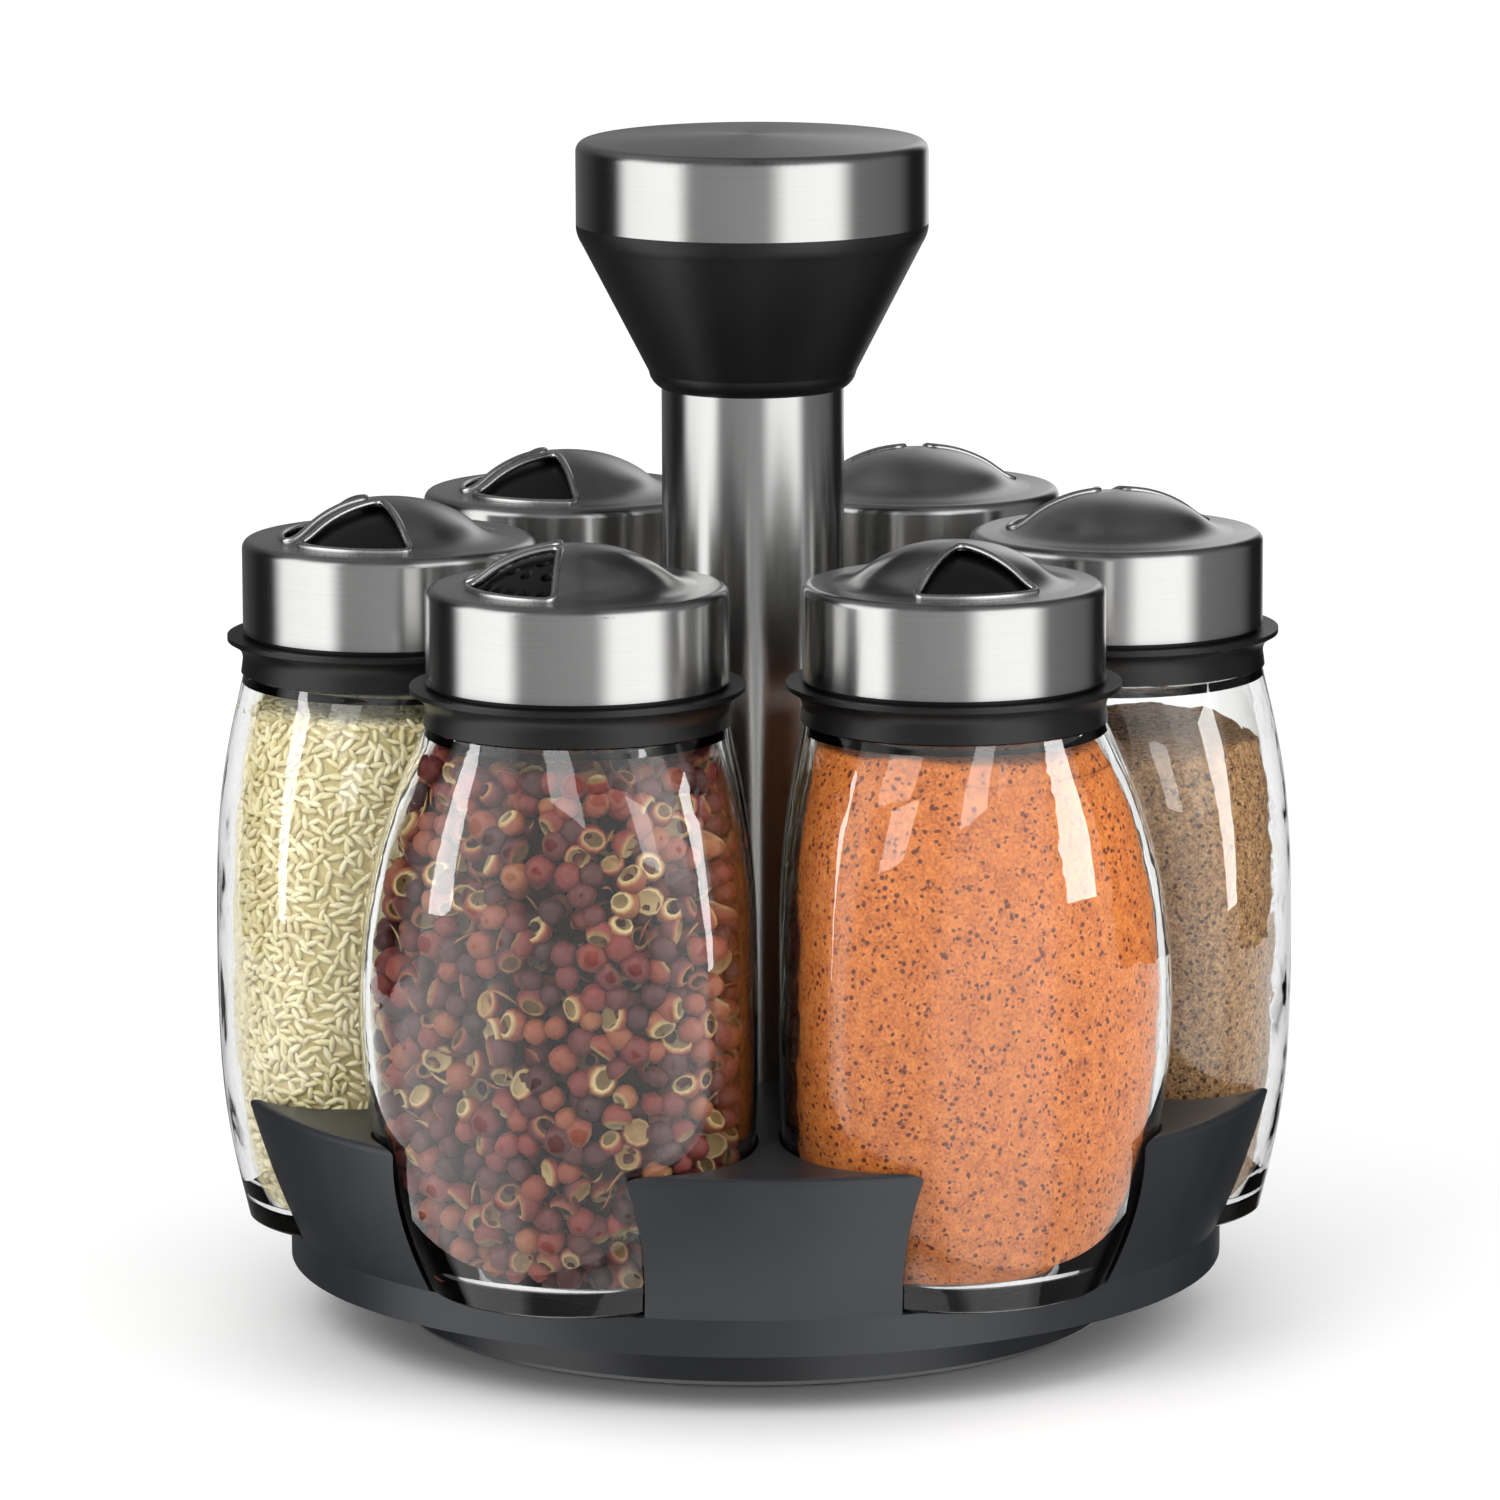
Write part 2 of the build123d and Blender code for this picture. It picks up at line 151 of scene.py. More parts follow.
# ---- materials --------------------------------------------------------------------------
def brushed_steel(name, size):
    """Stainless sheet brushed round the piece's own upright axis; size is its box in metres."""
    across_grooves, along_grooves = 5.0, 0.9
    tone = 0.6
    look = Shading(name)
    centred = look.add("VectorMath", operation="SUBTRACT")
    look.link(look.add("TexCoord").outputs["Generated"], centred.inputs[0])
    centred.inputs[1].default_value = (0.5, 0.5, 0.5)
    sized = look.add("VectorMath", operation="MULTIPLY")
    look.link(centred.outputs[0], sized.inputs[0])
    sized.inputs[1].default_value = [side / MM for side in size]
    axes = look.add("SeparateXYZ")
    look.link(sized.outputs[0], axes.inputs[0])
    x, y, z = axes.outputs
    squares = look.math("ADD", look.math("MULTIPLY", x, x), look.math("MULTIPLY", y, y))
    radius = look.math("SQRT", squares)
    angle = look.math("ARCTAN2", y, x)
    grooves = look.add("CombineXYZ")
    look.link(look.math("MULTIPLY", radius, across_grooves), grooves.inputs[0])
    look.link(look.math("MULTIPLY", z, across_grooves), grooves.inputs[1])
    look.link(look.math("MULTIPLY", angle, along_grooves), grooves.inputs[2])
    grain = look.noise(grooves.outputs[0], 1.6, detail=7.0, roughness=0.72)
    smudge = look.noise(look.position(), 70.0, detail=3.0)
    shade = look.math("ADD", look.span(grain, -0.07, 0.07), look.span(smudge, tone - 0.03, tone + 0.03))
    color = look.add("CombineColor")
    for socket, tint in zip(color.inputs, (1.0, 0.995, 0.985)):
        look.link(look.math("MULTIPLY", shade, tint), socket)
    look.link(color.outputs[0], look.shader.inputs["Base Color"])
    rough = look.math("ADD", look.span(grain, 0.17, 0.29), look.span(smudge, -0.03, 0.04))
    look.link(rough, look.shader.inputs["Roughness"])
    look.set(Metallic=1.0, Anisotropic=0.85, Anisotropic_Rotation=0.25)
    tangent = look.add("Tangent", direction_type="RADIAL", axis="Z")
    look.link(tangent.outputs[0], look.shader.inputs["Tangent"])
    look.link(look.bump(grain, 0.06, 0.00002), look.shader.inputs["Normal"])
    return look.material


def moulded_plastic(name, color, roughness):
    """Moulded plastic with a fine spark texture, faint flow marks and slightly rubbed patches."""
    look = Shading(name)
    place = look.position()
    spark = look.noise(place, 2600.0, detail=3.0, roughness=0.6)
    rub = look.noise(place, 45.0, detail=5.0)
    low = [channel * 0.82 for channel in color]
    high = [channel * 1.25 for channel in color]
    look.link(look.ramp(rub, [(0.30, low), (0.75, high)]), look.shader.inputs["Base Color"])
    worn = look.span(rub, roughness - 0.06, roughness + 0.08)
    rough = look.math("ADD", worn, look.span(spark, -0.05, 0.05))
    look.link(rough, look.shader.inputs["Roughness"])
    look.link(look.bump(spark, 0.22, 0.00003), look.shader.inputs["Normal"])
    return look.material


def clear_glass(name):
    """Pressed glass: gentle waviness, a faint green body, and light let through to the spice."""
    look = Shading(name)
    place = look.position()
    waves = look.noise(place, 60.0, detail=1.5)
    look.set(Base_Color=(0.978, 0.988, 0.982, 1.0), Roughness=0.0, IOR=1.5, Transmission_Weight=1.0)
    look.link(look.bump(waves, 0.35, 0.0006), look.shader.inputs["Normal"])
    film = look.noise(place, 220.0, detail=4.0)
    look.link(look.span(film, 0.0, 0.012), look.shader.inputs["Roughness"])
    through = look.add("BsdfTransparent")
    through.inputs["Color"].default_value = (0.95, 0.96, 0.95, 1.0)
    path = look.add("LightPath")
    mix = look.add("MixShader")
    look.link(path.outputs["Is Shadow Ray"], mix.inputs[0])
    look.link(look.shader.outputs[0], mix.inputs[1])
    look.link(through.outputs[0], mix.inputs[2])
    look.link(mix.outputs[0], look.output.inputs["Surface"])
    return look.material


def plain_metal(name, color, roughness):
    """Bright turned or plated metal with fine handling marks."""
    look = Shading(name)
    marks = look.noise(look.position(), 900.0, detail=5.0, roughness=0.65)
    low = [channel * 0.9 for channel in color]
    look.link(look.ramp(marks, [(0.3, low), (0.7, color)]), look.shader.inputs["Base Color"])
    look.link(look.span(marks, roughness - 0.08, roughness + 0.12), look.shader.inputs["Roughness"])
    look.set(Metallic=1.0)
    look.link(look.bump(marks, 0.1, 0.00004), look.shader.inputs["Normal"])
    return look.material


def rubber(name, color):
    """Matt rubber with fine pores."""
    look = Shading(name)
    pores = look.noise(look.position(), 1400.0, detail=4.0)
    high = [min(1.0, channel * 1.6) for channel in color]
    look.link(look.ramp(pores, [(0.3, color), (0.8, high)]), look.shader.inputs["Base Color"])
    look.link(look.span(pores, 0.65, 0.85), look.shader.inputs["Roughness"])
    look.link(look.bump(pores, 0.3, 0.00005), look.shader.inputs["Normal"])
    return look.material


def powder(name, stops, specks, speck_color, clump=420.0):
    """Ground spice: two sizes of mottling, scattered specks and a grainy surface."""
    look = Shading(name)
    place = look.position()
    fine = look.noise(place, 2200.0, detail=3.0, roughness=0.7)
    broad = look.noise(place, clump, detail=6.0, roughness=0.7)
    tone = look.math("ADD", look.math("MULTIPLY", fine, 0.55), look.math("MULTIPLY", broad, 0.45))
    body = look.ramp(tone, stops)
    dots = look.add("TexVoronoi", Scale=900.0, Randomness=1.0)
    look.link(place, dots.inputs["Vector"])
    spread = look.noise(place, 900.0, detail=0.0)
    near = look.math("LESS_THAN", dots.outputs["Distance"], specks)
    some = look.math("GREATER_THAN", spread, 0.52)
    mix = look.add("Mix", data_type="RGBA")
    look.link(look.math("MULTIPLY", near, some), mix.inputs[0])
    look.link(body, mix.inputs[6])
    mix.inputs[7].default_value = (*speck_color, 1.0)
    look.link(mix.outputs[2], look.shader.inputs["Base Color"])
    look.set(Roughness=0.9, Specular_IOR_Level=0.2)
    grains = look.bump(fine, 0.6, 0.0003)
    look.link(look.bump(broad, 0.5, 0.0008, grains), look.shader.inputs["Normal"])
    return look.material


def grain_skin(name, stops, roughness, wrinkle, depth):
    """Whole grains: each takes its own shade from the mesh's grain attribute."""
    look = Shading(name)
    own = look.add("Attribute", attribute_name="grain")
    mottle = look.noise(look.position(), wrinkle, detail=4.0, roughness=0.6)
    shade = look.math("ADD", own.outputs["Fac"], look.span(mottle, -0.09, 0.09))
    look.link(look.ramp(shade, stops), look.shader.inputs["Base Color"])
    look.set(Roughness=roughness, Specular_IOR_Level=0.35)
    look.link(look.bump(mottle, 0.5, depth), look.shader.inputs["Normal"])
    return look.material


def dress(node, material):
    """Give a CAD node its material."""
    for slot in NODES[node].material_slots:
        slot.material = material


# ---- spices -----------------------------------------------------------------------------
def lathe_blob(rings, segments, profile):
    """A closed form of revolution about Z: profile(t) gives radius and height for t from 0 to 1."""
    points = [(0.0, 0.0, profile(0.0)[1])]
    for ring in range(1, rings):
        radius, height = profile(ring / rings)
        for step in range(segments):
            turn = 2 * pi * step / segments
            points.append((radius * cos(turn), radius * sin(turn), height))
    points.append((0.0, 0.0, profile(1.0)[1]))
    last = len(points) - 1
    faces = []
    for step in range(segments):
        after = (step + 1) % segments
        faces.append((0, 1 + after, 1 + step))
        top = 1 + (rings - 2) * segments
        faces.append((last, top + step, top + after))
        for ring in range(rings - 2):
            low = 1 + ring * segments
            high = low + segments
            faces.append((low + step, low + after, high + after))
            faces.append((low + step, high + after, high + step))
    return np.array(points), np.array(faces)


def whole_husk():
    """A closed follicle: a rough ball with a seam."""
    points, faces = lathe_blob(7, 10, lambda t: (sin(pi * t), -cos(pi * t)))
    for point in points:
        seam = 1 - 0.16 * max(0.0, 1 - abs(point[0]) * 5) * (point[2] > -0.4)
        lump = 1 + 0.09 * noise.noise(Vector(point) * 2.3)
        point *= seam * lump
    return points, faces, np.zeros(len(points))


def open_husk(gape, mouth):
    """A split follicle: a thick-lipped cup, pale inside, its mouth facing +Z and drawn in by mouth."""
    rings, segments, lip = 10, 10, 0.6

    def profile(t):
        if t < lip:
            turn = (t / lip) * (pi * gape)
            return sin(turn), -cos(turn)
        turn = (1 - (t - lip) / (1 - lip)) * (pi * gape)
        return 0.82 * sin(turn), -0.82 * cos(turn) + 0.02
    points, faces = lathe_blob(rings, segments, profile)
    for point in points:
        point *= 1 + 0.10 * noise.noise(Vector(point) * 2.1 + Vector((3, 1, 2)))
        point[0] *= 1.0 - mouth * max(point[2], 0.0)
    first_inner = 1 + segments * (round(rings * lip) - 1)
    lining = np.where(np.arange(len(points)) >= first_inner, 0.48, 0.0)
    return points, faces, lining


def stalk():
    """A short bent stem."""
    points, faces = lathe_blob(6, 5, lambda t: (0.11 * sin(pi * min(max(t, 0.12), 0.88)), 2.6 * t - 1.3))
    for point in points:
        point[0] += 0.18 * point[2] ** 2
    return points, faces, np.zeros(len(points))


def long_grain():
    """A plump grain, pointed at both ends."""
    points, faces = lathe_blob(5, 6, lambda t: (0.44 * sin(pi * t) ** 0.7, 1.3 * (2 * t - 1)))
    return points, faces, np.zeros(len(points))


def fill_surface(node, spacing, depth, draw):
    """Scattered places on a fill's surface at least spacing apart, sunk by depth: (point, normal)."""
    mesh = NODES[node].data
    mesh.calc_loop_triangles()
    corners = [[mesh.vertices[i].co for i in tri.vertices] for tri in mesh.loop_triangles]
    areas = [tri.area for tri in mesh.loop_triangles]
    normals = [tri.normal for tri in mesh.loop_triangles]
    tries_per_square = 9
    tries = int(sum(areas) / spacing**2 * tries_per_square)
    kept = {}
    for index in draw.choices(range(len(areas)), areas, k=tries):
        a, b, c = corners[index]
        u, v = draw.random(), draw.random()
        if u + v > 1:
            u, v = 1 - u, 1 - v
        point = a + (b - a) * u + (c - a) * v
        cell = tuple(int(value // spacing) for value in point)
        near = (
            other
            for x in (-1, 0, 1) for y in (-1, 0, 1) for z in (-1, 0, 1)
            for other, _ in kept.get((cell[0] + x, cell[1] + y, cell[2] + z), ())
        )
        if all((point - other).length > spacing for other in near):
            kept.setdefault(cell, []).append((point, normals[index]))
    return [(point - normal * depth, normal) for cell in kept.values() for point, normal in cell]


def random_turn(draw, normal, lie_flat):
    """A random rotation; lie_flat keeps the grain's long axis along the surface."""
    if lie_flat:
        side = normal.orthogonal().normalized()
        long_axis = Matrix.Rotation(draw.uniform(0, 2 * pi), 3, normal) @ side
        long_axis = (long_axis + normal * draw.uniform(-0.25, 0.1)).normalized()
    else:
        long_axis = Vector([draw.gauss(0, 1) for _ in range(3)]).normalized()
        if draw.random() < 0.55:
            long_axis = (long_axis + normal * 1.2).normalized()
    spin = Matrix.Rotation(draw.uniform(0, 2 * pi), 3, long_axis)
    return np.array(spin @ long_axis.to_track_quat("Z", "Y").to_matrix())


def scatter(name, places, kinds, draw, lie_flat=False):
    """One mesh of many grains. kinds: (weight, shape, size in metres, low shade, high shade)."""
    all_points, all_faces, shades = [], [], []
    count = 0
    for point, normal in places:
        kind = draw.choices(kinds, [weight for weight, *_ in kinds])[0]
        _, (points, faces, lining), size, low, high = kind
        turn = random_turn(draw, normal, lie_flat)
        grown = points * size * draw.uniform(0.82, 1.12)
        all_points.append(grown @ turn.T + np.array(point))
        all_faces.append(faces + count)
        shades.append(lining + draw.uniform(low, high))
        count += len(points)
    mesh = bpy.data.meshes.new(name)
    mesh.from_pydata(np.concatenate(all_points).tolist(), [], np.concatenate(all_faces).tolist())
    mesh.attributes.new("grain", "FLOAT", "POINT").data.foreach_set("value", np.concatenate(shades))
    mesh.polygons.foreach_set("use_smooth", [True] * len(mesh.polygons))
    piece = bpy.data.objects.new(name, mesh)
    bpy.context.scene.collection.objects.link(piece)
    return piece


def core_of(node, name, shrink):
    """The fill's own form, drawn in by shrink, to stand behind the outer grains."""
    source = NODES[node].data
    form = bmesh.new()
    form.from_mesh(source)
    bmesh.ops.remove_doubles(form, verts=form.verts, dist=0.00002)
    form.normal_update()
    for vertex in form.verts:
        vertex.co -= vertex.normal * shrink
    mesh = bpy.data.meshes.new(name)
    form.to_mesh(mesh)
    form.free()
    piece = bpy.data.objects.new(name, mesh)
    bpy.context.scene.collection.objects.link(piece)
    return piece


def heap(node, name, roughness):
    """Ground spice: the fill remeshed finely, with a lumpy skin and a settled, uneven top."""
    piece = core_of(node, name, 0.0001)
    remesh = piece.modifiers.new("fine", "REMESH")
    remesh.mode = "VOXEL"
    remesh.voxel_size = 0.0009
    view = bpy.context.evaluated_depsgraph_get()
    mesh = bpy.data.meshes.new_from_object(piece.evaluated_get(view))
    piece.modifiers.clear()
    piece.data = mesh
    normals = [vertex.normal.copy() for vertex in mesh.vertices]
    places = [vertex.co.copy() for vertex in mesh.vertices]
    top = max(place.z for place in places)
    top_band, settling = 0.004, 0.0022
    for place, normal in zip(places, normals):
        lump = noise.fractal(place * 420, 1.0, 2.0, 3)
        place -= normal * roughness * (0.5 + 0.5 * lump)
        if place.z > top - top_band:
            place.z -= settling * (0.5 + 0.5 * noise.noise(place * 90))
    mesh.vertices.foreach_set("co", np.array(places).ravel())
    mesh.polygons.foreach_set("use_smooth", [True] * len(mesh.polygons))
    mesh.update()
    return piece


def place_in_jar(piece, jar, slot, material):
    """A piece of spice takes its material and stands for the jar's CAD fill."""
    piece.data.materials.clear()
    piece.data.materials.append(material)
    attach(piece, f"jar_{jar}")
    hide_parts(f"spice_{jar}")


def peppercorns(jar):
    """Two layers of red-brown husks, some split and pale inside, round a near-black core that is painted
    shade for the depths between the husks.
    """
    draw = random.Random(11)
    node = f"spice_{jar}"
    skin = grain_skin(
        "peppercorn_skin",
        [
            (0.02, (0.016, 0.006, 0.006)),
            (0.20, (0.070, 0.013, 0.012)),
            (0.36, (0.190, 0.026, 0.019)),
            (0.50, (0.250, 0.070, 0.028)),
            (0.66, (0.370, 0.200, 0.070)),
            (0.90, (0.620, 0.480, 0.240)),
        ],
        0.42, 1500.0, 0.00030,
    )
    kinds = [
        (5, whole_husk(), 0.00225, 0.08, 0.52),
        (4, open_husk(0.72, 0.5), 0.0025, 0.12, 0.54),
        (2, open_husk(0.58, 0.3), 0.0025, 0.16, 0.50),
        (1, stalk(), 0.0024, 0.45, 0.80),
    ]
    outer = scatter("peppercorns_outer", fill_surface(node, 0.0032, 0.0021, draw), kinds, draw)
    inner = scatter("peppercorns_inner", fill_surface(node, 0.0037, 0.0054, draw), kinds, draw)
    core = core_of(node, "peppercorns_core", 0.0068)
    # Painted shade: the core's near-black colour stands for the shadowed depths between the husks.
    core_look = powder(
        "peppercorn_core_painted_shade",
        [(0.3, (0.02, 0.005, 0.004)), (0.7, (0.06, 0.015, 0.01))],
        0.2, (0.1, 0.05, 0.02),
    )
    for piece, material in ((outer, skin), (inner, skin), (core, core_look)):
        place_in_jar(piece, jar, "sichuan_peppercorn", material)


def pale_grains(jar):
    """Close-packed pale grains lying along the glass, with the same colour behind them."""
    draw = random.Random(5)
    node = f"spice_{jar}"
    skin = grain_skin(
        "pale_grain_skin",
        [(0.1, (0.66, 0.55, 0.29)), (0.5, (0.80, 0.71, 0.42)), (0.9, (0.88, 0.80, 0.54))],
        0.42, 900.0, 0.00006,
    )
    kinds = [(1, long_grain(), 0.00125, 0.15, 0.95)]
    places = fill_surface(node, 0.00128, 0.0007, draw)
    outer = scatter("pale_grains_outer", places, kinds, draw, lie_flat=True)
    core = core_of(node, "pale_grains_core", 0.0010)
    core_look = powder(
        "pale_grain_dust",
        [(0.3, (0.52, 0.42, 0.18)), (0.7, (0.72, 0.62, 0.34))],
        0.1, (0.4, 0.3, 0.12),
    )
    for piece, material in ((outer, skin), (core, core_look)):
        place_in_jar(piece, jar, "pale_grain", material)


def powders():
    """The four ground spices."""
    chilli = powder(
        "chilli_skin",
        [(0.36, (0.26, 0.048, 0.009)), (0.48, (0.56, 0.150, 0.024)), (0.62, (0.74, 0.250, 0.055))],
        0.36, (0.14, 0.025, 0.008),
    )
    cumin = powder(
        "cumin_skin",
        [(0.38, (0.08, 0.034, 0.013)), (0.48, (0.25, 0.125, 0.048)), (0.62, (0.50, 0.30, 0.135))],
        0.36, (0.06, 0.026, 0.010), clump=700.0,
    )
    turmeric = powder(
        "turmeric_skin",
        [(0.30, (0.30, 0.12, 0.004)), (0.50, (0.50, 0.23, 0.012)), (0.70, (0.62, 0.34, 0.03))],
        0.14, (0.26, 0.10, 0.01),
    )
    pepper = powder(
        "pepper_skin",
        [(0.32, (0.008, 0.006, 0.005)), (0.50, (0.04, 0.032, 0.025)), (0.72, (0.22, 0.18, 0.13))],
        0.38, (0.30, 0.25, 0.18), clump=900.0,
    )
    for jar, slot, skin, lumps in (
        ("front_right", "chilli_powder", chilli, 0.0003),
        ("right", "ground_cumin", cumin, 0.0005),
        ("rear_left", "turmeric_powder", turmeric, 0.0003),
        ("rear_right", "black_pepper", pepper, 0.0006),
    ):
        place_in_jar(heap(f"spice_{jar}", f"heap_{jar}", lumps), jar, slot, skin)


# ---- lips of the dial windows -----------------------------------------------------------
def chained(edges):
    """Closed runs of vertices through the given edges."""
    left = dict.fromkeys(edges)
    while left:
        edge = next(iter(left))
        del left[edge]
        run = [edge.verts[0], edge.verts[1]]
        while True:
            step = next((other for other in run[-1].link_edges if other in left), None)
            if step is None:
                break
            del left[step]
            run.append(step.other_vert(run[-1]))
        yield run


def window_lips(jar, material):
    """A rolled bead along the top edge of each window, found from the sharp edges of the dome."""
    node = f"dial_cap_{jar}"
    low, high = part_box(node)
    axis = (low + high) / 2
    form = bmesh.new()
    form.from_mesh(NODES[node].data)
    bmesh.ops.remove_doubles(form, verts=form.verts, dist=0.000001)
    cut_radius = 0.0186
    sharp = [
        edge for edge in form.edges
        if len(edge.link_faces) == 2
        and edge.calc_face_angle() > radians(40)
        and max(face.normal.z for face in edge.link_faces) > 0.5
        and max((vertex.co - axis).xy.length for vertex in edge.verts) < cut_radius
    ]
    curve = bpy.data.curves.new(f"window_lips_{jar}", "CURVE")
    curve.dimensions = "3D"
    curve.bevel_depth = 0.0006
    curve.bevel_resolution = 2
    fewest = 8
    for run in chained(sharp):
        if len(run) < fewest:
            continue
        spline = curve.splines.new("POLY")
        spline.points.add(len(run) - 2)
        for point, vertex in zip(spline.points, run):
            point.co = (*vertex.co, 1.0)
        spline.use_cyclic_u = True
    form.free()
    draft = bpy.data.objects.new(f"window_lips_draft_{jar}", curve)
    mesh = bpy.data.meshes.new_from_object(draft)
    bpy.data.objects.remove(draft)
    mesh.materials.append(material)
    piece = bpy.data.objects.new(f"window_lips_{jar}", mesh)
    bpy.context.scene.collection.objects.link(piece)
    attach(piece, f"dial_{jar}")


# ---- stage and light --------------------------------------------------------------------
def stage_plane():
    """A large pale floor."""
    look = Shading("floor_paint")
    mottle = look.noise(look.position(), 3.0, detail=2.0)
    look.link(look.ramp(mottle, [(0.3, (0.93, 0.93, 0.93)), (0.7, (0.95, 0.95, 0.95))]),
              look.shader.inputs["Base Color"])
    look.set(Roughness=0.75, Specular_IOR_Level=0.25)
    bpy.ops.mesh.primitive_plane_add(size=40.0, location=(0, 0, 0))
    floor = bpy.context.object
    floor.name = "floor"
    floor.data.materials.append(look.material)
    floor.visible_glossy = False


def light_tent():
    """A round tent seen only in reflections: upright bright panels between dark flags."""
    radius, height, segments = 0.5, 0.55, 96
    outline = [(radius, -height), (radius, height * 0.7), (radius * 0.8, height), (0.001, height * 1.15)]
    points, faces = [], []
    for ring_radius, level in outline:
        for step in range(segments):
            turn = 2 * pi * step / segments
            points.append((ring_radius * cos(turn), ring_radius * sin(turn), level))
    for ring in range(len(outline) - 1):
        for step in range(segments):
            low, after = ring * segments, (step + 1) % segments
            faces.append((low + step, low + after, low + segments + after, low + segments + step))
    mesh = bpy.data.meshes.new("light_tent")
    mesh.from_pydata(points, [], faces)
    tent = bpy.data.objects.new("light_tent", mesh)
    bpy.context.scene.collection.objects.link(tent)
    for ray in ("camera", "diffuse", "transmission", "volume_scatter", "shadow"):
        setattr(tent, f"visible_{ray}", False)
    look = Shading("tent_light")
    axes = look.add("SeparateXYZ")
    look.link(look.position(), axes.inputs[0])
    x, y, z = axes.outputs
    around = look.math("ARCTAN2", x, look.math("MULTIPLY", y, -1.0))
    share = look.math("ADD", look.math("DIVIDE", around, 2 * pi), 0.5)
    panels = [  # azimuth from the front in degrees, brightness
        (-180, 0.12), (-118, 0.01), (-100, 0.01), (-90, 0.90), (-52, 1.00),
        (-42, 0.20), (8, 0.26), (20, 0.95), (54, 1.00), (66, 0.15),
        (106, 0.10), (122, 0.01), (146, 0.01), (160, 0.50), (180, 0.12),
    ]
    wedges = [
        (-180, 0.05), (-120, 0.12), (-70, 0.05), (-30, 0.10),
        (5, 0.04), (40, 0.13), (95, 0.05), (180, 0.05),
    ]
    wall, ceiling = (
        look.ramp(share, [((azimuth + 180) / 360, (level,) * 3) for azimuth, level in levels])
        for levels in (panels, wedges)
    )
    roof = look.add("MapRange")
    look.link(z, roof.inputs["Value"])
    roof.inputs["From Min"].default_value = height * 0.66
    roof.inputs["From Max"].default_value = height * 0.98
    mix = look.add("Mix", data_type="RGBA")
    look.link(roof.outputs["Result"], mix.inputs[0])
    look.link(wall, mix.inputs[6])
    look.link(ceiling, mix.inputs[7])
    glow = look.add("Emission")
    look.link(mix.outputs[2], glow.inputs["Color"])
    glow.inputs["Strength"].default_value = 1.6
    look.link(glow.outputs[0], look.output.inputs["Surface"])
    mesh.materials.append(look.material)


def area_light(name, place, size, radiance):
    """A rectangular light turned to the middle of the jars, unseen by the camera and in reflections."""
    data = bpy.data.lights.new(name, "AREA")
    data.shape = "RECTANGLE"
    data.size, data.size_y = size
    data.energy = radiance * pi * size[0] * size[1]
    light = bpy.data.objects.new(name, data)
    light.location = place
    beam = Vector((0, 0, MIDDLE_Z)) - Vector(place)
    light.rotation_euler = beam.to_track_quat("-Z", "Y").to_euler()
    light.visible_camera = False
    light.visible_glossy = False
    bpy.context.scene.collection.objects.link(light)
    return light


def toward(azimuth, elevation, distance):
    """A place seen from the middle of the jars at an azimuth from the front, in degrees."""
    across, up = radians(azimuth), radians(elevation)
    out = distance * cos(up)
    return (out * sin(across), -out * cos(across), MIDDLE_Z + distance * sin(up))


def lights():
    """White surroundings, two soft lamps, and softboxes that only the jars reflect."""
    world = bpy.data.worlds.new("studio")
    world.use_nodes = True
    world.node_tree.nodes["Background"].inputs["Color"].default_value = (1, 1, 1, 1)
    world.node_tree.nodes["Background"].inputs["Strength"].default_value = 1.12
    bpy.context.scene.world = world
    area_light("key", (-0.7, -0.9, 1.1), (0.7, 0.7), 3.9)
    area_light("fill", (1.0, -0.8, 0.8), (0.8, 0.8), 1.5)
    inside_tent = 0.46
    glass_only = bpy.data.collections.new("glass_only")
    for jar in JARS:
        glass_only.objects.link(NODES[f"glass_jar_{jar}"])
    for name, azimuth, elevation, size, radiance in (
        ("softbox_right", 70, 13, (0.12, 0.26), 13),
        ("softbox_left", -76, 13, (0.08, 0.28), 11),
        ("softbox_front", -20, 22, (0.12, 0.09), 5),
        ("softbox_top", 22, 22, (0.09, 0.10), 5),
    ):
        softbox = area_light(name, toward(azimuth, elevation, inside_tent), size, radiance)
        softbox.visible_glossy = True
        softbox.visible_diffuse = False
        softbox.visible_transmission = False
        softbox.light_linking.receiver_collection = glass_only
    bpy.context.scene.view_settings.view_transform = "Standard"


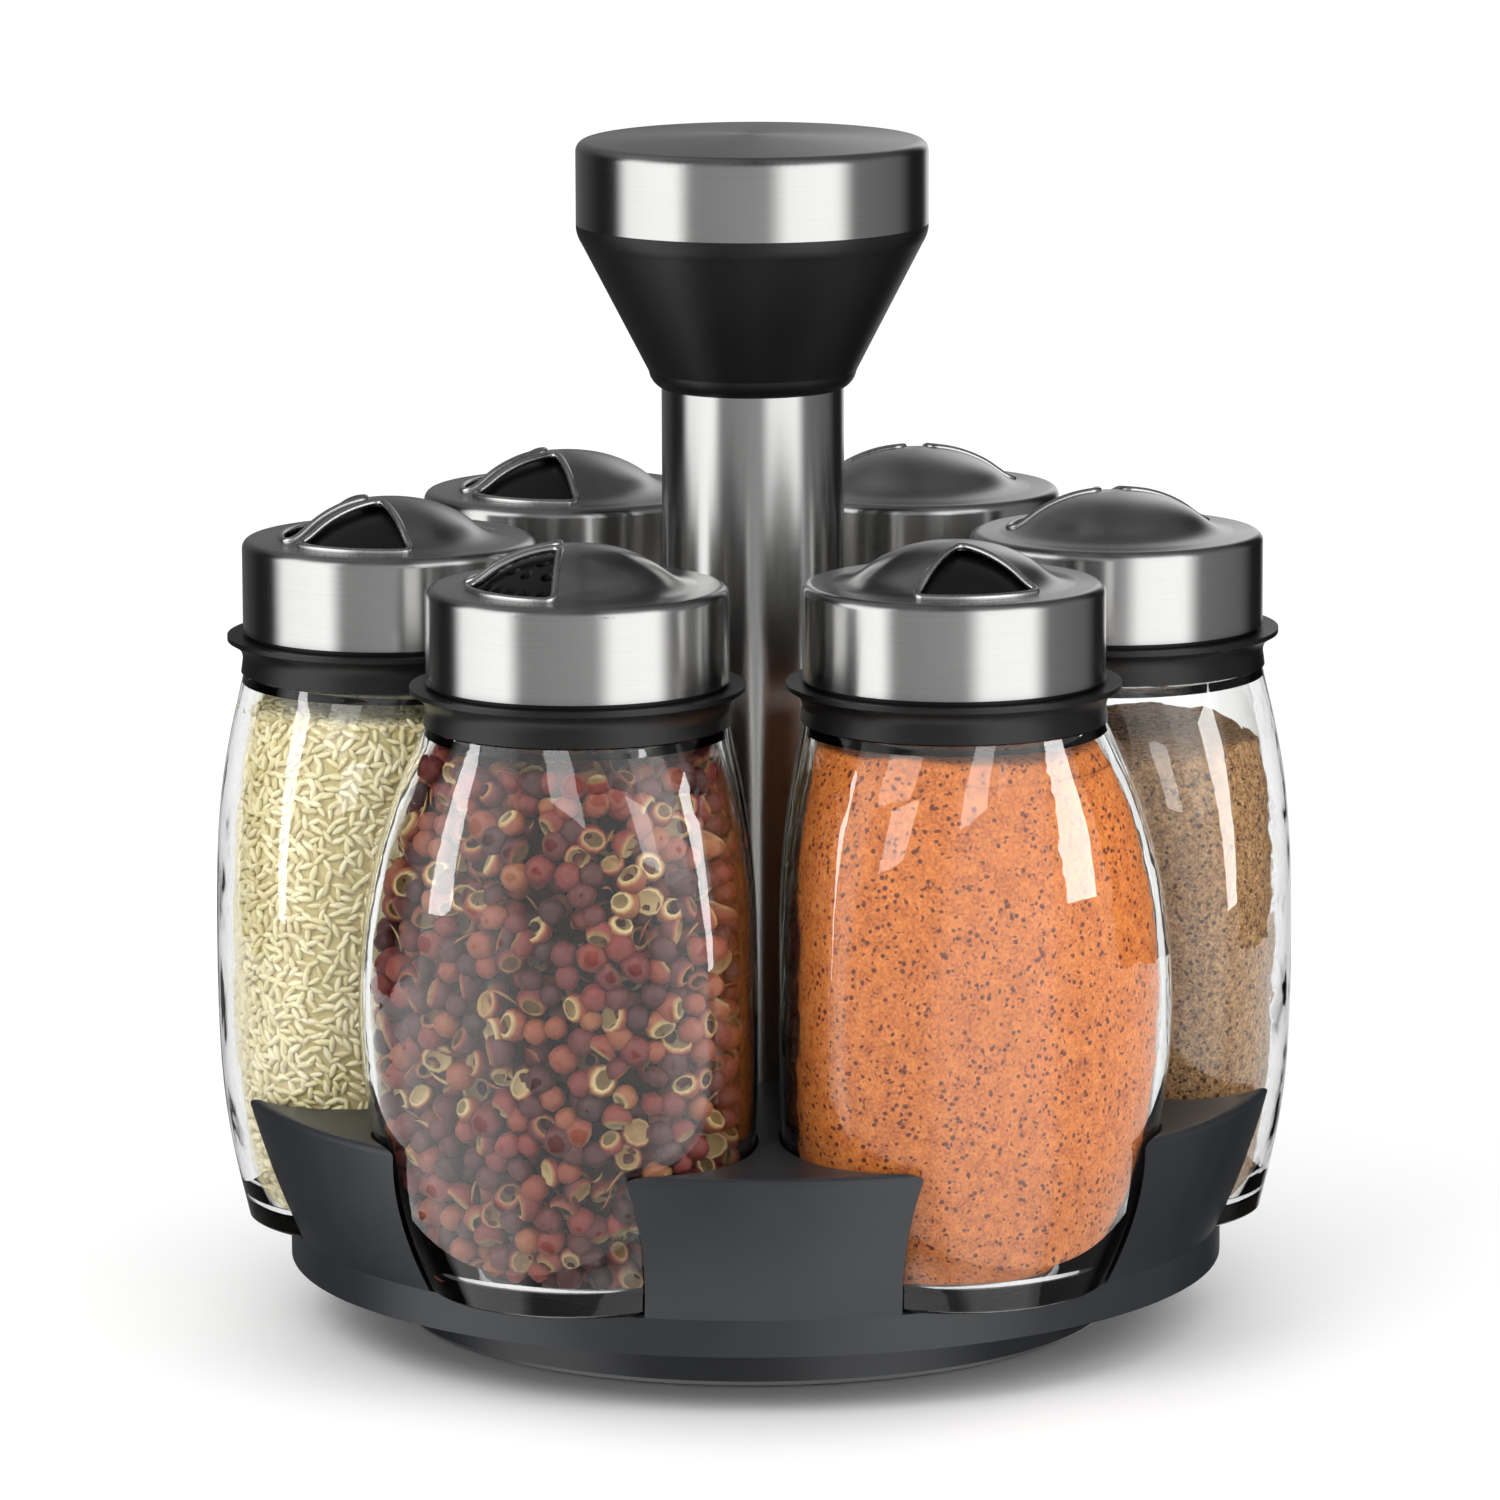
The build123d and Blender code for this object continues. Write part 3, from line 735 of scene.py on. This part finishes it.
def side_flags():
    """Two dark upright cards behind the jars that only the glass sees, to draw its edges."""
    look = Shading("flag_cloth")
    weave = look.noise(look.position(), 300.0)
    look.link(look.ramp(weave, [(0.3, (0.01, 0.01, 0.01)), (0.7, (0.03, 0.03, 0.03))]),
              look.shader.inputs["Base Color"])
    look.set(Roughness=0.9)
    for name, side in (("flag_left", -1), ("flag_right", 1)):
        bpy.ops.mesh.primitive_plane_add(size=1.0, location=(side * 0.42, 0.12, 0.10))
        flag = bpy.context.object
        flag.name = name
        flag.scale = (0.30, 0.32, 1.0)
        flag.rotation_euler = (pi / 2, 0, side * radians(-65))
        flag.data.materials.append(look.material)
        for ray in ("camera", "diffuse", "glossy", "volume_scatter", "shadow"):
            setattr(flag, f"visible_{ray}", False)


# ---- dress the CAD nodes ----------------------------------------------------------------
def size_of(node):
    """A node's extent along x, y and z."""
    low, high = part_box(node)
    return [high[axis] - low[axis] for axis in range(3)]


def dress_stand():
    charcoal = moulded_plastic("charcoal_moulding", (0.020, 0.022, 0.026), 0.36)
    black = moulded_plastic("black_moulding", (0.0045, 0.0045, 0.005), 0.38)
    zinc = plain_metal("zinc", (0.68, 0.68, 0.69), 0.25)
    dress("foot_disc", charcoal)
    dress("tray", charcoal)
    dress("knob_cone", black)
    dress("ball_cage", moulded_plastic("cage_moulding", (0.70, 0.69, 0.65), 0.45))
    dress("rubber_feet", rubber("foot_pad_rubber", (0.025, 0.025, 0.025)))
    dress("knob_insert", plain_metal("turned_brass", (0.72, 0.50, 0.20), 0.3))
    for node in ("lower_race", "upper_race", "bearing_balls", "tie_rod", "rod_washer"):
        dress(node, zinc)
    for node in ("column_tube", "knob_cap"):
        dress(node, brushed_steel(f"{node}_steel", size_of(node)))
    return black


def dress_jars(black):
    glass = clear_glass("jar_glass")
    steel = brushed_steel("dial_cap_steel", size_of("dial_cap_left"))
    silicone = rubber("seal_silicone", (0.62, 0.62, 0.60))
    lip = plain_metal("window_lip_steel", (0.86, 0.86, 0.85), 0.26)
    for jar in JARS:
        dress(f"glass_jar_{jar}", glass)
        dress(f"dial_cap_{jar}", steel)
        dress(f"shaker_insert_{jar}", black)
        dress(f"neck_seal_{jar}", silicone)
        window_lips(jar, lip)


add_camera()
lights()
stage_plane()
light_tent()
side_flags()
dress_jars(dress_stand())
peppercorns("front_left")
pale_grains("left")
powders()
